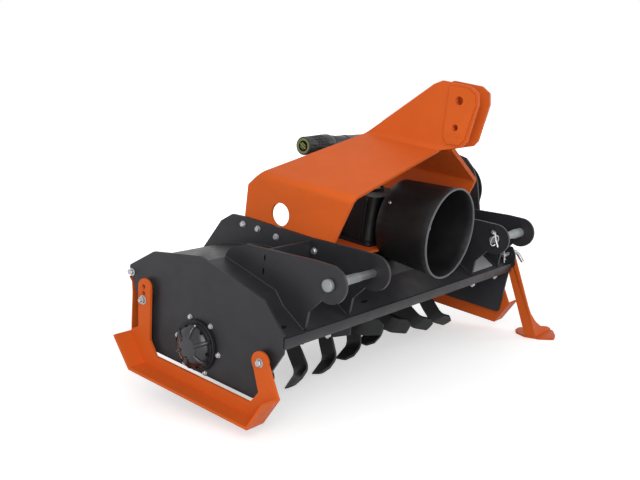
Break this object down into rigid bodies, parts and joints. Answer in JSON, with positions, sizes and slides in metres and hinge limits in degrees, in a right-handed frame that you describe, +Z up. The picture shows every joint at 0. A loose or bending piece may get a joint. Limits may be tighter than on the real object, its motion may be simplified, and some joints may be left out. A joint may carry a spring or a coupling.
{
  "type": "rotary tiller",
  "caption": "Rotary tiller for a three-point hitch: bent mast, PTO shield, side chain drive, tined rotor under a hood, skids, tailgate and parking stand.",
  "frame": {"origin": "on the floor under the middle of the whole machine, 38 mm right of the rotor's middle and 105 mm in front of its axis", "axes": "+X across the machine to the chain-case side, which is the right seen from behind, +Y rearwards away from the tractor, +Z up; the machine rests nose down by 9.2 degrees"},
  "size_m": [1.4992, 0.819, 0.9094],
  "materials": {
    "implement_orange": "satin",
    "implement_black": "satin",
    "bright_pin": "satin",
    "shield_plastic": "satin",
    "tine_steel": "semi_gloss",
    "tube_plastic": "satin"
  },
  "bodies": {
    "frame": {"hood": "implement_black", "front_bar": "implement_black", "side_plate_left": "implement_black", "side_plate_right": "implement_black", "hitch_plate_outer_left": "implement_black", "hitch_plate_outer_right": "implement_black", "hitch_plate_inner_left": "implement_black", "hitch_plate_inner_right": "implement_black", "cross_plate_left": "implement_black", "cross_plate_right": "implement_black", "lower_hitch_pin_left": "bright_pin", "lower_hitch_pin_right": "bright_pin", "mast_half_left": "implement_orange", "mast_half_right": "implement_orange", "mast_ear_left": "implement_orange", "mast_ear_right": "implement_orange", "mast_tie_plate": "implement_orange", "mast_base_plate": "implement_orange", "gearbox": "implement_black", "pto_shield": "shield_plastic", "cross_drive_tube": "implement_black", "chain_case": "implement_black", "chain_case_cover": "implement_black", "rotor_bearing": "implement_black", "skid_left": "implement_orange", "skid_right": "implement_orange", "document_tube": "tube_plastic", "document_tube_cap": "tube_plastic", "document_tube_bracket": "tube_plastic", "stand_bracket": "implement_black", "stand_pin": "bright_pin", "tailgate_rod": "bright_pin"},
    "rotor": {"rotor_tube": "tine_steel", "tine_set_1": "tine_steel", "tine_set_2": "tine_steel", "tine_set_3": "tine_steel", "tine_set_4": "tine_steel", "tine_set_5": "tine_steel", "tine_set_6": "tine_steel"},
    "pto": {"pto_shaft": "bright_pin"},
    "tailgate": {"tailgate": "implement_orange"},
    "stand": {"stand_leg": "implement_orange", "stand_foot": "implement_orange"}
  },
  "joints": [
    {"name": "rotor_turn", "type": "hinge", "parent": "frame", "child": "rotor", "pos_m": [-0.038, 0.105, 0.2], "axis": [1, 0, 0], "continuous": true},
    {"name": "pto_turn", "type": "hinge", "parent": "frame", "child": "pto", "pos_m": [-0.038, -0.18435, 0.48541], "axis": [0, -0.9871, -0.1599], "continuous": true},
    {"name": "tailgate_swing", "type": "hinge", "parent": "frame", "child": "tailgate", "pos_m": [-0.038, 0.39313, 0.36621], "axis": [1, 0, 0], "range_deg": [-8, 65]},
    {"name": "stand_swing", "type": "hinge", "parent": "frame", "child": "stand", "pos_m": [0.6085, -0.19439, 0.30346], "axis": [-1, 0, 0], "range_deg": [0, 115]}
  ],
  "couplings": [
    {"joint": "pto_turn", "follows": "rotor_turn", "ratio": 2.4}
  ]
}
